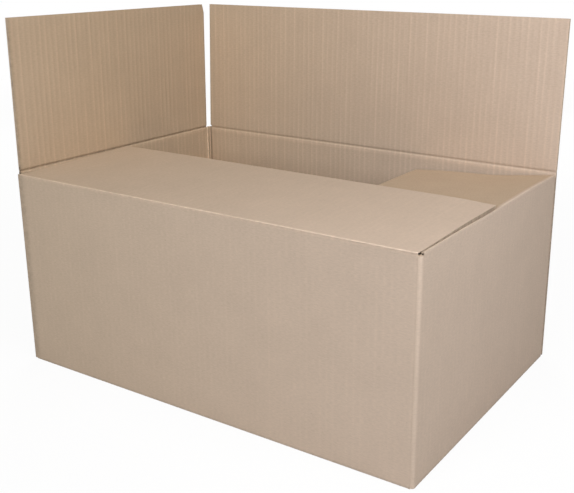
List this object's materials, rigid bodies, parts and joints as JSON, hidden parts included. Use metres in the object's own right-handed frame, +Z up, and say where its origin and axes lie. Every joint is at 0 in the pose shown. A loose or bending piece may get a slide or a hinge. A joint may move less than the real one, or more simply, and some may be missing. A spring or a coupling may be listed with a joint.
{
  "type": "open cardboard box",
  "caption": "Open corrugated shipping carton: low rectangular box with hinged top flaps, one shut over a tucked short flap, the others standing upright.",
  "frame": {"origin": "on the floor, under the middle of the carton's base", "axes": "+X along the long front wall to the right, +Y from the front wall to the back wall, +Z up"},
  "size_m": [0.4512, 0.3045, 0.3522],
  "materials": {
    "kraft_board": "matte"
  },
  "bodies": {
    "carton": {"carton_body": "kraft_board", "right_flap": "kraft_board"},
    "front_flap": {"front_flap": "kraft_board"},
    "back_flap": {"back_flap": "kraft_board"},
    "left_flap": {"left_flap": "kraft_board"}
  },
  "joints": [
    {"name": "front_flap_score", "type": "hinge", "parent": "carton", "child": "front_flap", "pos_m": [0, -0.15, 0.2], "axis": [1, 0, 0], "range_deg": [0, 255]},
    {"name": "back_flap_score", "type": "hinge", "parent": "carton", "child": "back_flap", "pos_m": [0, 0.15, 0.2024], "axis": [-1, 0, 0], "range_deg": [-90.5, 165]},
    {"name": "left_flap_score", "type": "hinge", "parent": "carton", "child": "left_flap", "pos_m": [-0.225, 0, 0.2027], "axis": [0, -1, 0], "range_deg": [-25, 165]}
  ]
}
